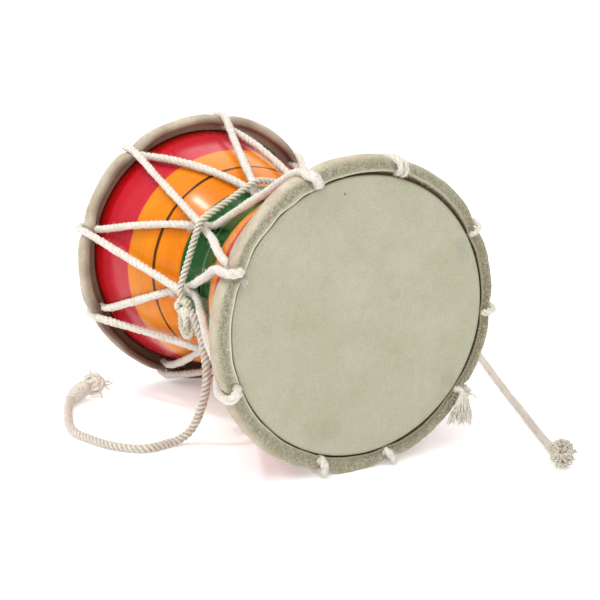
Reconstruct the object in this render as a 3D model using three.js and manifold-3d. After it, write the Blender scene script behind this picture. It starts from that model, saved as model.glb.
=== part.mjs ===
// A temple hand drum lying on its side: an hourglass shell of turned wood, two drumheads of hide
// rolled over hoops, one lacing rope, a girdle cord round the waist and two knotted striker cords.
// Millimetres. +X runs along the drum to its front head, +Z is up and the floor is z = 0.
// An angle round the drum counts from straight up towards +Y.

import * as THREE from 'three';
import { mergeVertices } from 'three/addons/utils/BufferGeometryUtils.js';
import Module from 'manifold-3d';

const wasm = await Module();
wasm.setup();

// Driving dimensions

const RIM_RADIUS = 70;
const REST_FLAT = 0.4;
const AXIS_HEIGHT = RIM_RADIUS - REST_FLAT;
const GAP = 0.3;

const HEAD_FACE = 81.8;
const SKIN = 1.4;
const MOUTH = HEAD_FACE - SKIN - GAP;
const MOUTH_RADIUS = 61.4;
const WAIST_RADIUS = 38.5;
const WALL_AT_MOUTH = 5;
const WALL_AT_WAIST = 17;
const WALL_BLEND = 34;
const SHELL_FACES = 40;
const SHELL_STEPS = 8;
const BORE_STEPS = 3;

const RIM_BACK = 72;
const RIM_FRONT = 81.5;
const COLLAR_BACK = 77.6;
const RECESS_RADIUS = 65.2;
const GROOVE_RADIUS = 63;
const ROPE_BED_LENGTH = 20;
const RIM_FACES = 48;
const RIM_PINCH = 1.3;
const PINCH_WIDTH = 5.5;

const ROPE_RADIUS = 2;
const ROPE_SIDES = 6;
const ROPE_BED = 0.6;
const ROPE_OFF_SHELL = 0.5;
const STRAND_CLEARANCE = 1.2;
const STRAND_SHARES = [0.4, 0.75];
const LOOP_SPREAD = 1.2;

const GIRDLE_RADIUS = 1.7;
const GIRDLE_X = -3.5;
const GIRDLE_OVER_JOINT = 47.6;
const GIRDLE_SHOULDER = 46.9;
const SHOULDER_ANGLE = 4.3;
const GIRDLE_ORDER = [3, 2, 1, 0, 8, 7, 6, 5, 4];
const GIRDLE_START = [45.6, 258];
const GIRDLE_END = [44.8, 254];
const CROSSING_X = -9.5;
const UNDER_GIRDLE = WAIST_RADIUS + ROPE_RADIUS + ROPE_OFF_SHELL;
const STRAND_SIDESTEP = 3.1;

const FRONT_KNOT = [46.2, 256.5];
const FRONT_KNOT_SIZE = [4.6, 3.8, 4.4];
const BACK_KNOT = [48.3, 106];
const BACK_KNOT_SIZE = [4.4, 3.6, 4.2];
const BOWS = [
  { shift: [-2.6, -0.4, -8.6], halfHeight: 7.4, turn: 0.35 },
  { shift: [1.2, -1.2, -8], halfHeight: 7, turn: -0.5 },
];
const BOW_TUBE = 1.35;
const BOW_FACES = [5, 10];
const BOW_NARROWING = 0.45;
const GIRDLE_KNOT_FACES = [9, 6];

const STRIKER_RADIUS = 2.1;
const STRIKER_SIDES = 8;
const KNOT_RADIUS = 6.4;
const KNOT_FACES = 10;

// Outside of the shell on either side of the waist: distance along, radius and slope there

const SHELL_STATIONS = [
  { x: 0, r: WAIST_RADIUS, slope: 0 },
  { x: 16.9, r: 41.9, slope: 0.46 },
  { x: 31.6, r: 49.2, slope: 0.41 },
  { x: 49.2, r: 55, slope: 0.27 },
  { x: MOUTH, r: MOUTH_RADIUS, slope: 0.16 },
];

// Angles of the nine rope loops on each rim, in the order that the lacing numbers them

const FRONT_LOOPS = [15.5, 339, 294, 248.3, 197, 167, 127.2, 93.8, 59.5];
const BACK_LOOPS = [8.5, 324, 284.4, 247, 203, 165, 128, 90, 50];
const LOOPS = FRONT_LOOPS.length;
const FIRST_LOOP = 6;

// The rope at one loop, from the hole behind the rim, round its front and back over its outside:
// distance along the drum, radius, and share of the loop's spread

const HOLE_RADIUS = 64;
const NOTCH_RADIUS = 69.4;
const LOOP_STATIONS = [
  [71.5, HOLE_RADIUS - 0.2, 1],
  [80.8, HOLE_RADIUS, 1],
  [83.5, HOLE_RADIUS + 0.9, 0.6],
  [84.3, HOLE_RADIUS + 2.9, 0],
  [83.4, NOTCH_RADIUS - 0.4, -0.6],
  [80.6, NOTCH_RADIUS, -1],
  [72, NOTCH_RADIUS - 0.3, -1],
];
const LOOP_FRONT = 3;

// The rope's tail hangs in front of the rim at the first loop: distance along, radius and degrees
// past the loop

const TAIL_STATIONS = [
  [84.4, 68.4, 2.9],
  [83.6, 71.6, 4.2],
  [82.4, 74.2, 6.1],
];
const TASSEL_LENGTH = 12;
const TASSEL_NECK = 1.6;
const TASSEL_RADIUS = 3.8;
const TASSEL_FACES = 8;

// Free cords, each from the girdle down to the floor and along it

const LEFT_ROUTE = [
  [7.2, -47.5, 61.4], [10.2, -46.3, 57.4], [13.2, -45.4, 52.3], [15.6, -45, 47],
  [18, -45, 40.5], [19.2, -45.1, 33.5], [19.2, -45.6, 27.5], [18.8, -46.6, 22],
  [17.8, -48, 16.7], [16.4, -50, 10.6], [15.2, -53, 5.8], [14.6, -57.5, 2.9],
  [14.6, -63, 2.1], [16.2, -70, 2.1], [15.6, -76, 2.1], [11.5, -81.5, 2.1],
  [4, -87.5, 2.1], [-8, -92.7, 2.1], [-19.5, -95.8, 2.1], [-32.3, -94.2, 2.1],
  [-42, -91.2, 2.1], [-51, -88, 2.3], [-60, -84, 3.2], [-66, -78.5, 4.8],
  [-69.8, -72, 6.2],
];
const RIGHT_ROUTE = [
  [-3, 48.9, 51.8], [-3.1, 49.2, 46], [-3.2, 49.4, 40], [-3.4, 49.5, 33], [-3.5, 49.6, 26],
  [-3.6, 50, 19], [-4, 51.5, 11.5], [-5.2, 56, 5], [-8, 63, 2.4], [-12.5, 71.5, 2.1],
  [-19, 83, 2.1], [-26, 95, 2.1], [-33, 107, 2.1], [-40, 118.5, 2.1], [-45, 128, 2.1],
  [-46.5, 136.5, 2.1], [-42.5, 143.2, 2.1], [-34, 144.6, 2.1], [-24, 140.6, 2.1],
  [-10, 134.6, 2.1], [3, 129, 2.1], [15, 124, 2.1], [33, 116.5, 2.1], [52, 109, 2.1],
  [69, 102, 2.1], [86, 95, 2.1], [97, 90.6, 2.3], [106, 86.8, 3.3], [113.5, 83.6, 5],
];

// Finishes

const LACQUERED_WOOD = new THREE.MeshStandardMaterial({ color: 0xe0761c, roughness: 0.25, metalness: 0 });
const HIDE = new THREE.MeshStandardMaterial({ color: 0xcbc8b0, roughness: 0.75, metalness: 0 });
const COTTON_ROPE = new THREE.MeshStandardMaterial({ color: 0xefe8db, roughness: 0.95, metalness: 0 });

// Helpers for solids

function welded(geometry) {
  const bare = geometry.index ? geometry.toNonIndexed() : geometry.clone();
  bare.deleteAttribute('normal');
  bare.deleteAttribute('uv');
  const merged = mergeVertices(bare, 1e-4);
  const corners = merged.index.array;
  const kept = [];
  for (let i = 0; i < corners.length; i += 3) {
    const [a, b, c] = [corners[i], corners[i + 1], corners[i + 2]];
    if (a !== b && b !== c && c !== a) kept.push(a, b, c);
  }
  merged.setIndex(kept);
  return merged;
}

function solid(geometry) {
  const merged = welded(geometry);
  return new wasm.Manifold(new wasm.Mesh({
    numProp: 3,
    vertProperties: new Float32Array(merged.attributes.position.array),
    triVerts: new Uint32Array(merged.index.array),
  }));
}

function geometryOf(body) {
  const mesh = body.getMesh();
  const geometry = new THREE.BufferGeometry();
  geometry.setAttribute('position', new THREE.BufferAttribute(new Float32Array(mesh.vertProperties), 3));
  geometry.setIndex(new THREE.BufferAttribute(new Uint32Array(mesh.triVerts), 1));
  geometry.computeVertexNormals();
  return geometry;
}

function named(name, geometry, material) {
  const mesh = new THREE.Mesh(geometry, material);
  mesh.name = name;
  return mesh;
}

// A profile of [distance along, radius] points turned round the X axis

function turned(profile, faces) {
  const points = profile.map(([along, radius]) => new THREE.Vector2(radius, along));
  return new THREE.LatheGeometry(points, faces).rotateZ(-Math.PI / 2);
}

// A cord whose sections stand on the points of its route

class Route extends THREE.CatmullRomCurve3 {
  getUtoTmapping(u) {
    return u;
  }
}

function cord(points, radius, sides) {
  const corners = [];
  for (let i = 0; i < sides; i += 1) {
    const turn = (2 * Math.PI * i) / sides;
    corners.push(new THREE.Vector2(radius * Math.cos(turn), radius * Math.sin(turn)));
  }
  return new THREE.ExtrudeGeometry(new THREE.Shape(corners), {
    steps: points.length - 1,
    bevelEnabled: false,
    extrudePath: new Route(points, false, 'centripetal'),
  });
}

// Places round the drum

function place(x, radius, degrees) {
  const turn = THREE.MathUtils.degToRad(degrees);
  return new THREE.Vector3(x, radius * Math.sin(turn), AXIS_HEIGHT + radius * Math.cos(turn));
}

function cycle(list, k) {
  return list[(k + list.length) % list.length];
}

function meanAngle(angles) {
  let across = 0;
  let upward = 0;
  for (const degrees of angles) {
    across += Math.sin(THREE.MathUtils.degToRad(degrees));
    upward += Math.cos(THREE.MathUtils.degToRad(degrees));
  }
  return (THREE.MathUtils.radToDeg(Math.atan2(across, upward)) + 360) % 360;
}

// Joint k gathers the two strands that cross between loops k - 1 and k of both rims

function jointAngle(k) {
  return meanAngle([cycle(FRONT_LOOPS, k - 1), cycle(FRONT_LOOPS, k),
    cycle(BACK_LOOPS, k - 1), cycle(BACK_LOOPS, k)]);
}

// Shell: one block of wood, turned outside and hollowed right through its waist

function shellRadius(x) {
  const along = Math.min(Math.abs(x), MOUTH);
  const i = Math.max(1, SHELL_STATIONS.findIndex((station) => station.x >= along));
  const [a, b] = [SHELL_STATIONS[i - 1], SHELL_STATIONS[i]];
  const span = b.x - a.x;
  const t = (along - a.x) / span;
  const [t2, t3] = [t * t, t * t * t];
  return (2 * t3 - 3 * t2 + 1) * a.r + (t3 - 2 * t2 + t) * span * a.slope
    + (3 * t2 - 2 * t3) * b.r + (t3 - t2) * span * b.slope;
}

function boreRadius(x) {
  const waistShare = Math.exp(-((x / WALL_BLEND) ** 2));
  return shellRadius(x) - WALL_AT_MOUTH - (WALL_AT_WAIST - WALL_AT_MOUTH) * waistShare;
}

function makeShell() {
  const profile = [];
  for (let i = -SHELL_STEPS; i <= SHELL_STEPS; i += 1) {
    const x = (MOUTH * i) / SHELL_STEPS;
    profile.push([x, shellRadius(x)]);
  }
  for (let i = BORE_STEPS; i >= -BORE_STEPS; i -= 1) {
    const x = (MOUTH * i) / BORE_STEPS;
    profile.push([x, boreRadius(x)]);
  }
  profile.push(profile[0]);
  return turned(profile, SHELL_FACES).translate(0, 0, AXIS_HEIGHT);
}

// Drumhead: the skin over the mouth, its short collar round the shell, a recess open to the waist
// and the rim rolled over the hoop, with a groove between the rim's face and the skin

const HEAD_PROFILE = [
  [HEAD_FACE - SKIN, 0],
  [HEAD_FACE - SKIN, MOUTH_RADIUS + GAP],
  [COLLAR_BACK, shellRadius(COLLAR_BACK) + GAP],
  [COLLAR_BACK - 0.4, RECESS_RADIUS - 1],
  [RIM_BACK, RECESS_RADIUS + 0.6],
  [RIM_BACK + 1.2, RIM_RADIUS - 1.2],
  [RIM_BACK + 3.4, RIM_RADIUS],
  [RIM_FRONT - 1.9, RIM_RADIUS],
  [RIM_FRONT, RIM_RADIUS - 2.2],
  [RIM_FRONT - 0.3, GROOVE_RADIUS + 1.2],
  [RIM_FRONT - 1.8, GROOVE_RADIUS],
  [RIM_FRONT - 0.2, MOUTH_RADIUS + 0.5],
  [HEAD_FACE, MOUTH_RADIUS - 1],
  [HEAD_FACE, 0],
];

function pinch(geometry, loopAngles) {
  const position = geometry.attributes.position;
  const point = new THREE.Vector3();
  for (let i = 0; i < position.count; i += 1) {
    point.fromBufferAttribute(position, i);
    const radius = Math.hypot(point.y, point.z);
    if (radius < RECESS_RADIUS) continue;
    const degrees = THREE.MathUtils.radToDeg(Math.atan2(point.y, point.z));
    let squeeze = 0;
    for (const loop of loopAngles) {
      const apart = THREE.MathUtils.euclideanModulo(degrees - loop + 180, 360) - 180;
      squeeze += Math.exp(-((apart / PINCH_WIDTH) ** 2));
    }
    const share = 1 - (RIM_PINCH * squeeze) / radius;
    position.setXYZ(i, point.x, point.y * share, point.z * share);
  }
}

function ropeBed(side, radius, degrees) {
  const middle = place(side * (HEAD_FACE + RIM_BACK) / 2, radius, degrees);
  const wide = ROPE_RADIUS + ROPE_BED;
  return solid(new THREE.CylinderGeometry(wide, wide, ROPE_BED_LENGTH, ROPE_SIDES)
    .rotateZ(Math.PI / 2)
    .translate(middle.x, middle.y, middle.z));
}

function makeHead(side, loopAngles) {
  const blank = turned(HEAD_PROFILE, RIM_FACES);
  if (side < 0) blank.rotateZ(Math.PI);
  pinch(blank, loopAngles);
  const worn = new THREE.BoxGeometry(3 * HEAD_FACE, RIM_RADIUS, RIM_RADIUS)
    .translate(0, 0, -RIM_RADIUS / 2);
  let head = solid(blank.translate(0, 0, AXIS_HEIGHT)).subtract(solid(worn));
  for (const degrees of loopAngles) {
    head = head.subtract(ropeBed(side, HOLE_RADIUS, degrees + LOOP_SPREAD));
    head = head.subtract(ropeBed(side, NOTCH_RADIUS, degrees - LOOP_SPREAD));
  }
  return geometryOf(head);
}

// Lacing: one rope through both rims, each pair of strands crossing at a waist joint

function loopPoints(side, degrees) {
  return LOOP_STATIONS.map(([along, radius, share]) => {
    return place(side * along, radius, degrees + share * LOOP_SPREAD);
  });
}

function offShell(point) {
  const radius = Math.hypot(point.y, point.z - AXIS_HEIGHT);
  const least = shellRadius(point.x) + ROPE_RADIUS + STRAND_CLEARANCE;
  if (radius >= least) return point;
  const share = least / radius;
  return new THREE.Vector3(point.x, point.y * share, AXIS_HEIGHT + (point.z - AXIS_HEIGHT) * share);
}

function between(from, to) {
  return STRAND_SHARES.map((t) => offShell(from.clone().lerp(to, t)));
}

// A strand passes its joint on the upper or the lower side of the other one, which it crosses on
// the back side of the girdle, and the two lie side by side under the girdle

function strand(from, k, to, upper) {
  const degrees = jointAngle(k);
  const lowest = shellRadius(CROSSING_X) + ROPE_RADIUS + ROPE_OFF_SHELL;
  const crossing = place(CROSSING_X, upper ? lowest + 2 * ROPE_RADIUS + GAP : lowest, degrees);
  const aside = upper ? -STRAND_SIDESTEP : STRAND_SIDESTEP;
  const underGirdle = place(GIRDLE_X, UNDER_GIRDLE, degrees + aside);
  const waist = upper ? [crossing, underGirdle] : [underGirdle, crossing];
  return [...between(from, waist[0]), ...waist, ...between(to, waist[1]).reverse()];
}

function makeLacing() {
  const start = loopPoints(1, FRONT_LOOPS[FIRST_LOOP]).slice(LOOP_FRONT + 1);
  const route = [...start];
  for (let i = 0; i < LOOPS; i += 1) {
    const front = (FIRST_LOOP + 2 * i) % LOOPS;
    const back = (front + 1) % LOOPS;
    const next = (front + 2) % LOOPS;
    const backLoop = loopPoints(-1, BACK_LOOPS[back]);
    const frontLoop = loopPoints(1, FRONT_LOOPS[next]);
    route.push(...strand(route[route.length - 1], back, backLoop[0], false));
    route.push(...backLoop);
    route.push(...strand(route[route.length - 1], next, frontLoop[0], true));
    route.push(...(i < LOOPS - 1 ? frontLoop : frontLoop.slice(0, LOOP_FRONT)));
  }
  for (const [along, radius, past] of TAIL_STATIONS) {
    route.push(place(along, radius, FRONT_LOOPS[FIRST_LOOP] + past));
  }
  const tail = route[route.length - 1];
  const tassel = new THREE.CylinderGeometry(TASSEL_NECK, TASSEL_RADIUS, TASSEL_LENGTH, TASSEL_FACES)
    .rotateX(Math.PI / 2)
    .translate(tail.x, tail.y, tail.z + ROPE_RADIUS - TASSEL_LENGTH / 2);
  return geometryOf(solid(cord(route, ROPE_RADIUS, ROPE_SIDES)).add(solid(tassel)));
}

// Girdle: a cord drawn tight round the nine joints and tied in two knots

function knot([radius, degrees], size) {
  return solid(new THREE.SphereGeometry(1, ...GIRDLE_KNOT_FACES)
    .scale(...size)
    .translate(...place(GIRDLE_X, radius, degrees)));
}

function bow({ shift, halfHeight, turn }) {
  return solid(new THREE.TorusGeometry(halfHeight, BOW_TUBE, ...BOW_FACES)
    .scale(BOW_NARROWING, 1, 1)
    .rotateX(Math.PI / 2)
    .rotateZ(turn)
    .translate(...shift)
    .translate(...place(GIRDLE_X, ...FRONT_KNOT)));
}

function makeGirdle() {
  const angles = GIRDLE_ORDER.map(jointAngle);
  for (let i = 1; i < angles.length; i += 1) {
    while (angles[i] < angles[i - 1]) angles[i] += 360;
  }
  const route = [place(GIRDLE_X, ...GIRDLE_START)];
  angles.forEach((degrees, i) => {
    route.push(place(GIRDLE_X, GIRDLE_SHOULDER, degrees - SHOULDER_ANGLE));
    route.push(place(GIRDLE_X, GIRDLE_OVER_JOINT, degrees));
    route.push(place(GIRDLE_X, GIRDLE_SHOULDER, degrees + SHOULDER_ANGLE));
    if (i === angles.length - 1) return;
    const half = (angles[i + 1] - degrees) / 2;
    const middle = GIRDLE_SHOULDER * Math.cos(THREE.MathUtils.degToRad(half - SHOULDER_ANGLE));
    route.push(place(GIRDLE_X, middle, degrees + half));
  });
  route.push(place(GIRDLE_X, ...GIRDLE_END));
  const girdle = solid(cord(route, GIRDLE_RADIUS, ROPE_SIDES))
    .add(knot(FRONT_KNOT, FRONT_KNOT_SIZE))
    .add(knot(BACK_KNOT, BACK_KNOT_SIZE));
  return geometryOf(BOWS.reduce((body, shape) => body.add(bow(shape)), girdle));
}

// Striker cords: limp cotton, each ending in a knot with a frayed tuft

function makeStriker(route) {
  const points = route.map(([x, y, z]) => new THREE.Vector3(x, y, z));
  return cord(points, STRIKER_RADIUS, STRIKER_SIDES);
}

const KNOT_PROFILE = [
  [-0.98, 0],
  [-0.86, 0.44],
  [-0.48, 0.86],
  [0, 1],
  [0.46, 0.84],
  [0.74, 0.56],
  [1.1, 0.66],
  [1.5, 0.86],
  [1.5, 0],
];

function makeStrikerKnot(route) {
  const [before, end] = route.slice(-2).map(([x, y]) => new THREE.Vector2(x, y));
  const heading = end.clone().sub(before).normalize();
  const centre = end.clone().addScaledVector(heading, KNOT_RADIUS + GAP);
  const profile = KNOT_PROFILE.map(([along, radius]) => [along * KNOT_RADIUS, radius * KNOT_RADIUS]);
  return turned(profile, KNOT_FACES)
    .rotateZ(Math.atan2(heading.y, heading.x))
    .translate(centre.x, centre.y, KNOT_RADIUS);
}

const drum = new THREE.Group();
drum.add(named('drum_shell', makeShell(), LACQUERED_WOOD));
drum.add(named('front_drumhead', makeHead(1, FRONT_LOOPS), HIDE));
drum.add(named('back_drumhead', makeHead(-1, BACK_LOOPS), HIDE.clone()));
drum.add(named('lacing_rope', makeLacing(), COTTON_ROPE));
drum.add(named('waist_girdle', makeGirdle(), COTTON_ROPE.clone()));
drum.add(named('left_striker_cord', makeStriker(LEFT_ROUTE), COTTON_ROPE.clone()));
drum.add(named('left_striker_knot', makeStrikerKnot(LEFT_ROUTE), COTTON_ROPE.clone()));
drum.add(named('right_striker_cord', makeStriker(RIGHT_ROUTE), COTTON_ROPE.clone()));
drum.add(named('right_striker_knot', makeStrikerKnot(RIGHT_ROUTE), COTTON_ROPE.clone()));

export default drum;
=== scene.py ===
# Temple hand drum lying on its side: a lacquered hourglass shell, two hide drumheads rolled over
# hoops, a cotton rope laced through both rims, a twisted girdle cord and two knotted striker cords.
# Metres. +X runs along the drum to its front head, +Z is up and the floor is z = 0.
from functools import partial

import bpy
import numpy as np
from mathutils import Matrix, Vector
from numpy.random import default_rng


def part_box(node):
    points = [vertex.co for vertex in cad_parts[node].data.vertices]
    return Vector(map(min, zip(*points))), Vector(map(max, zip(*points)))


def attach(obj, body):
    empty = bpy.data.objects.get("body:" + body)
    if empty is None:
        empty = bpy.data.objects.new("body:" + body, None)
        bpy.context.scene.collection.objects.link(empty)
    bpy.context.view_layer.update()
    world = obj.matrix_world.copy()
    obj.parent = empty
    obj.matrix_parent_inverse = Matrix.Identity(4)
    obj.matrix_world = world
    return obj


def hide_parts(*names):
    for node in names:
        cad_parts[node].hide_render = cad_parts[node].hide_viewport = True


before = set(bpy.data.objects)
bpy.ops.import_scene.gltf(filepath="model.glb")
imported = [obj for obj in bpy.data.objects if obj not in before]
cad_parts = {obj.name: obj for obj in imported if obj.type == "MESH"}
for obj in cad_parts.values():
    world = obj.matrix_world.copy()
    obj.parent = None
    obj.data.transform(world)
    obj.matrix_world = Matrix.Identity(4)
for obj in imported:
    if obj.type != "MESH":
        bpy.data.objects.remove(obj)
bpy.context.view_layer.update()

MM = 0.001
BODY = "root"

# Driving sizes, the same as the solids have

SHELL_LOW, SHELL_HIGH = (np.array(corner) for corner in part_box("drum_shell"))
AXIS_HEIGHT = (SHELL_LOW[2] + SHELL_HIGH[2]) / 2
MOUTH = SHELL_HIGH[0]
WAIST_RADIUS = 38.5 * MM
ROPE_RADIUS = 2 * MM
ROPE_OFF_SHELL = 0.5 * MM
STRAND_CLEARANCE = 1.2 * MM
LOOP_SPREAD = 1.2
GIRDLE_RADIUS = 1.7 * MM
GIRDLE_X = -3.5 * MM
GIRDLE_OVER_JOINT = 47.6 * MM
GIRDLE_SHOULDER = 46.9 * MM
SHOULDER_ANGLE = 4.3
GIRDLE_ORDER = [3, 2, 1, 0, 8, 7, 6, 5, 4]
CROSSING_X = -9.5 * MM
UNDER_GIRDLE = WAIST_RADIUS + ROPE_RADIUS + ROPE_OFF_SHELL
STRAND_SIDESTEP = 3.1
STRIKER_RADIUS = 2.1 * MM
KNOT_RADIUS = 6.4 * MM

SHELL_STATIONS = np.array([
    [0, 38.5, 0], [16.9, 41.9, 0.46], [31.6, 49.2, 0.41], [49.2, 55, 0.27], [80.1, 61.4, 0.16],
])
LINE_X = 31.6 * MM

# Stains on the front skin: place in mm, width in mm, strength and colour

STAINS = [
    ([81.8, 49.9, 96.6], 3.2, 0.3, "#8A8A86"), ([81.8, 51.3, 91.1], 3.6, 0.25, "#8C8C84"),
    ([81.8, 16.3, 78], 2.6, 0.22, "#8E8E80"), ([81.8, -22.1, 22.7], 6, 0.2, "#8C8A6C"),
    ([81.8, 45.2, 35.5], 4.2, 0.25, "#8C8C7C"), ([81.8, 11.9, 101.5], 4, 0.16, "#90907E"),
    ([81.8, -15.7, 22.6], 5, 0.2, "#8C8A6C"), ([81.8, -9.1, 124.6], 0.5, 0.85, "#A82038"),
]
FRONT_LOOPS = [15.5, 339, 294, 248.3, 197, 167, 127.2, 93.8, 59.5]
BACK_LOOPS = [8.5, 324, 284.4, 247, 203, 165, 128, 90, 50]
LOOPS = len(FRONT_LOOPS)
FIRST_LOOP = 6
LOOP_STATIONS = np.array([
    [71.5, 63.8, 1], [80.8, 64, 1], [83.5, 64.9, 0.6], [84.3, 66.9, 0],
    [83.4, 69, -0.6], [80.6, 69.4, -1], [72, 69.1, -1],
])
LOOP_FRONT = 3
TAIL_STATIONS = np.array([[84.4, 68.4, 2.9], [83.6, 71.6, 4.2], [82.4, 74.2, 6.1]])

LEFT_ROUTE = np.array([
    [7.2, -47.5, 61.4], [10.2, -46.3, 57.4], [13.2, -45.4, 52.3], [15.6, -45, 47],
    [18, -45, 40.5], [19.2, -45.1, 33.5], [19.2, -45.6, 27.5], [18.8, -46.6, 22],
    [17.8, -48, 16.7], [16.4, -50, 10.6], [15.2, -53, 5.8], [14.6, -57.5, 2.9],
    [14.6, -63, 2.1], [16.2, -70, 2.1], [15.6, -76, 2.1], [11.5, -81.5, 2.1],
    [4, -87.5, 2.1], [-8, -92.7, 2.1], [-19.5, -95.8, 2.1], [-32.3, -94.2, 2.1],
    [-42, -91.2, 2.1], [-51, -88, 2.3], [-60, -84, 3.2], [-66, -78.5, 4.8],
    [-69.8, -72, 6.2],
]) * MM
RIGHT_ROUTE = np.array([
    [-3, 48.9, 51.8], [-3.1, 49.2, 46], [-3.2, 49.4, 40], [-3.4, 49.5, 33], [-3.5, 49.6, 26],
    [-3.6, 50, 19], [-4, 51.5, 11.5], [-5.2, 56, 5], [-8, 63, 2.4], [-12.5, 71.5, 2.1],
    [-19, 83, 2.1], [-26, 95, 2.1], [-33, 107, 2.1], [-40, 118.5, 2.1], [-45, 128, 2.1],
    [-46.5, 136.5, 2.1], [-42.5, 143.2, 2.1], [-34, 144.6, 2.1], [-24, 140.6, 2.1],
    [-10, 134.6, 2.1], [3, 129, 2.1], [15, 124, 2.1], [33, 116.5, 2.1], [52, 109, 2.1],
    [69, 102, 2.1], [86, 95, 2.1], [97, 90.6, 2.3], [106, 86.8, 3.3], [113.5, 83.6, 5],
]) * MM


# Camera at the photograph's angle

def make_camera():
    data = bpy.data.cameras.new("camera")
    data.lens = 87.06
    data.sensor_width = 36
    camera = bpy.data.objects.new("camera", data)
    looking = Vector((-0.85110, 0.46066, -0.25183))
    turned = looking.to_track_quat("-Z", "Y").to_matrix().to_4x4()
    camera.matrix_world = Matrix.Translation((0.59734, -0.30946, 0.23411)) @ turned
    bpy.context.scene.collection.objects.link(camera)
    bpy.context.scene.camera = camera


# Meshes from whole arrays

def unit(vectors):
    return vectors / np.linalg.norm(vectors, axis=-1, keepdims=True)


def make_piece(name, points, faces, material, uv=None, marks=None):
    """A smooth mesh from points and arrays of faces, each with one number of corners. uv has a
    pair for each face corner, and marks a number for each point under a name. Where the volume, a
    sixth of the sum of the triple products of the faces' fans, is negative, the faces turn over."""
    volume = 0
    for block in faces:
        first = points[block[:, 0]]
        for k in range(1, block.shape[1] - 1):
            fan = np.cross(points[block[:, k]], points[block[:, k + 1]])
            volume += np.einsum("ij,ij->", first, fan)
    if volume < 0:
        faces = [block[:, ::-1] for block in faces]
        if uv is not None:
            uv = [block[:, ::-1] for block in uv]
    corners = np.concatenate([block.ravel() for block in faces])
    sizes = np.concatenate([np.full(len(block), block.shape[1]) for block in faces])
    starts = np.concatenate([[0], np.cumsum(sizes)[:-1]])
    mesh = bpy.data.meshes.new(name)
    mesh.vertices.add(len(points))
    mesh.vertices.foreach_set("co", np.ascontiguousarray(points, np.float32).ravel())
    mesh.loops.add(len(corners))
    mesh.loops.foreach_set("vertex_index", corners.astype(np.int32))
    mesh.polygons.add(len(sizes))
    mesh.polygons.foreach_set("loop_start", starts.astype(np.int32))
    mesh.update(calc_edges=True)
    mesh.shade_smooth()
    if uv is not None:
        layer = mesh.uv_layers.new(name="surface")
        flat = np.concatenate([block.reshape(-1, 2) for block in uv])
        layer.data.foreach_set("uv", flat.astype(np.float32).ravel())
    for mark, values in (marks or {}).items():
        attribute = mesh.attributes.new(mark, "FLOAT", "POINT")
        attribute.data.foreach_set("value", np.asarray(values, np.float32))
    mesh.materials.append(material)
    piece = bpy.data.objects.new(name, mesh)
    bpy.context.scene.collection.objects.link(piece)
    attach(piece, BODY)
    return piece


def grid_faces(rows, columns, first=0):
    """Quads between neighbouring rows of a grid whose columns go round and meet."""
    row, column = np.meshgrid(np.arange(rows - 1), np.arange(columns), indexing="ij")
    beside = (column + 1) % columns
    low = first + row * columns
    high = low + columns
    return np.stack([low + column, low + beside, high + beside, high + column], -1).reshape(-1, 4)


def grid_uv(along, columns):
    """For the same quads, u is the distance along in metres and v the share of a turn."""
    row, column = np.meshgrid(np.arange(len(along) - 1), np.arange(columns), indexing="ij")
    u = np.stack([along[row], along[row], along[row + 1], along[row + 1]], -1)
    v = np.stack([column, column + 1, column + 1, column], -1) / columns
    return np.stack([u, v], -1).reshape(-1, 4, 2)


def pole_faces(ring, pole, columns, ahead):
    """Triangles from a ring of points to one pole, after the ring or ahead of it."""
    column = np.arange(columns)
    beside = (column + 1) % columns
    end = np.full(columns, pole)
    order = (end, ring + beside, ring + column) if ahead else (ring + column, ring + beside, end)
    return np.stack(order, -1)


def capped(rings, poles):
    """Points and faces of a tube of rings, closed by a pole at each end."""
    rows, columns = rings.shape[:2]
    points = np.concatenate([rings.reshape(-1, 3), poles])
    last = (rows - 1) * columns
    fans = np.concatenate([
        pole_faces(0, rows * columns, columns, True),
        pole_faces(last, rows * columns + 1, columns, False),
    ])
    return points, grid_faces(rows, columns), fans


# Routes and frames

def smooth_route(points, step):
    """A centripetal Catmull-Rom curve: on each span the end tangents are the three-point
    differences weighted by the square roots of the spans, joined by a cubic, and the curve is then
    read off at even distances of about step."""
    p = np.vstack([2 * points[0] - points[1], points, 2 * points[-1] - points[-2]])
    gap = np.sqrt(np.linalg.norm(np.diff(p, axis=0), axis=1))[:, None]
    a, b, c, d = p[:-3], p[1:-2], p[2:-1], p[3:]
    g0, g1, g2 = gap[:-2], gap[1:-1], gap[2:]
    leave = ((b - a) / g0 - (c - a) / (g0 + g1) + (c - b) / g1) * g1
    arrive = ((c - b) / g1 - (d - b) / (g1 + g2) + (d - c) / g2) * g1
    t = (np.arange(32) / 32)[None, :, None]
    spans = [x[:, None, :] for x in (b, c, leave, arrive)]
    start, end, out, into = spans
    curve = ((2 * t**3 - 3 * t**2 + 1) * start + (t**3 - 2 * t**2 + t) * out
             + (3 * t**2 - 2 * t**3) * end + (t**3 - t**2) * into)
    curve = np.vstack([curve.reshape(-1, 3), points[-1:]])
    return evenly(curve, step)


def lengths_along(line):
    return np.concatenate([[0], np.cumsum(np.linalg.norm(np.diff(line, axis=0), axis=1))])


def evenly(line, step):
    along = lengths_along(line)
    wanted = np.linspace(0, along[-1], max(4, int(round(along[-1] / step)) + 1))
    return np.stack([np.interp(wanted, along, line[:, k]) for k in range(3)], -1)


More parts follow.
